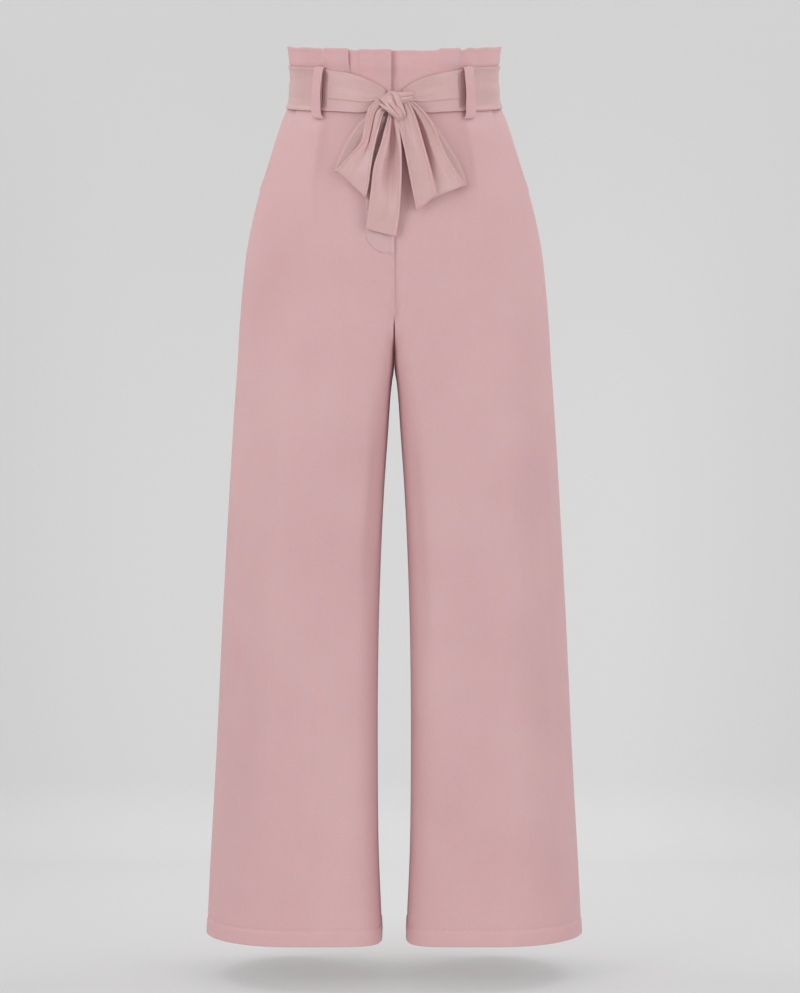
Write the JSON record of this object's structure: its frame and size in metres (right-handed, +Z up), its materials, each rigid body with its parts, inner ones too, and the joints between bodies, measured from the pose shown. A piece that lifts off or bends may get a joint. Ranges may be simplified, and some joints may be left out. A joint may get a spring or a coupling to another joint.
{
  "type": "palazzo pants",
  "caption": "High-waisted wide-legged palazzo trousers with a pleated paper-bag waist, belt loops and a sash tied in a bow, filled out as when worn.",
  "frame": {"origin": "middle of the waist opening, half way up the waistband, where a wearer's waist holds the trousers", "axes": "+Z up, -Y to the front of the wearer, +X to the wearer's left"},
  "size_m": [0.4562, 0.2603, 1.0879],
  "materials": {
    "crepe": "smooth dusty pink crepe with a soft, nearly matt surface",
    "sash_crepe": "the same crepe, a little lighter, with a satin sheen along its folds"
  },
  "bodies": {
    "root": {"front_right": "crepe", "front_left": "crepe", "back_right": "crepe", "back_left": "crepe", "pocket_side_right": "crepe", "pocket_side_left": "crepe", "fly": "crepe", "waistband_front_right": "crepe", "waistband_front_left": "crepe", "waistband_back": "crepe", "belt_loop_front_right": "crepe", "belt_loop_front_left": "crepe", "belt_loop_back_right": "crepe", "belt_loop_back_left": "crepe", "sash_back": "sash_crepe", "sash_front_right": "sash_crepe", "sash_front_left": "sash_crepe", "knot": "sash_crepe", "bow_loop_right": "sash_crepe", "bow_loop_left": "sash_crepe", "sash_tail_long": "sash_crepe", "sash_tail_short": "sash_crepe"}
  },
  "joints": []
}
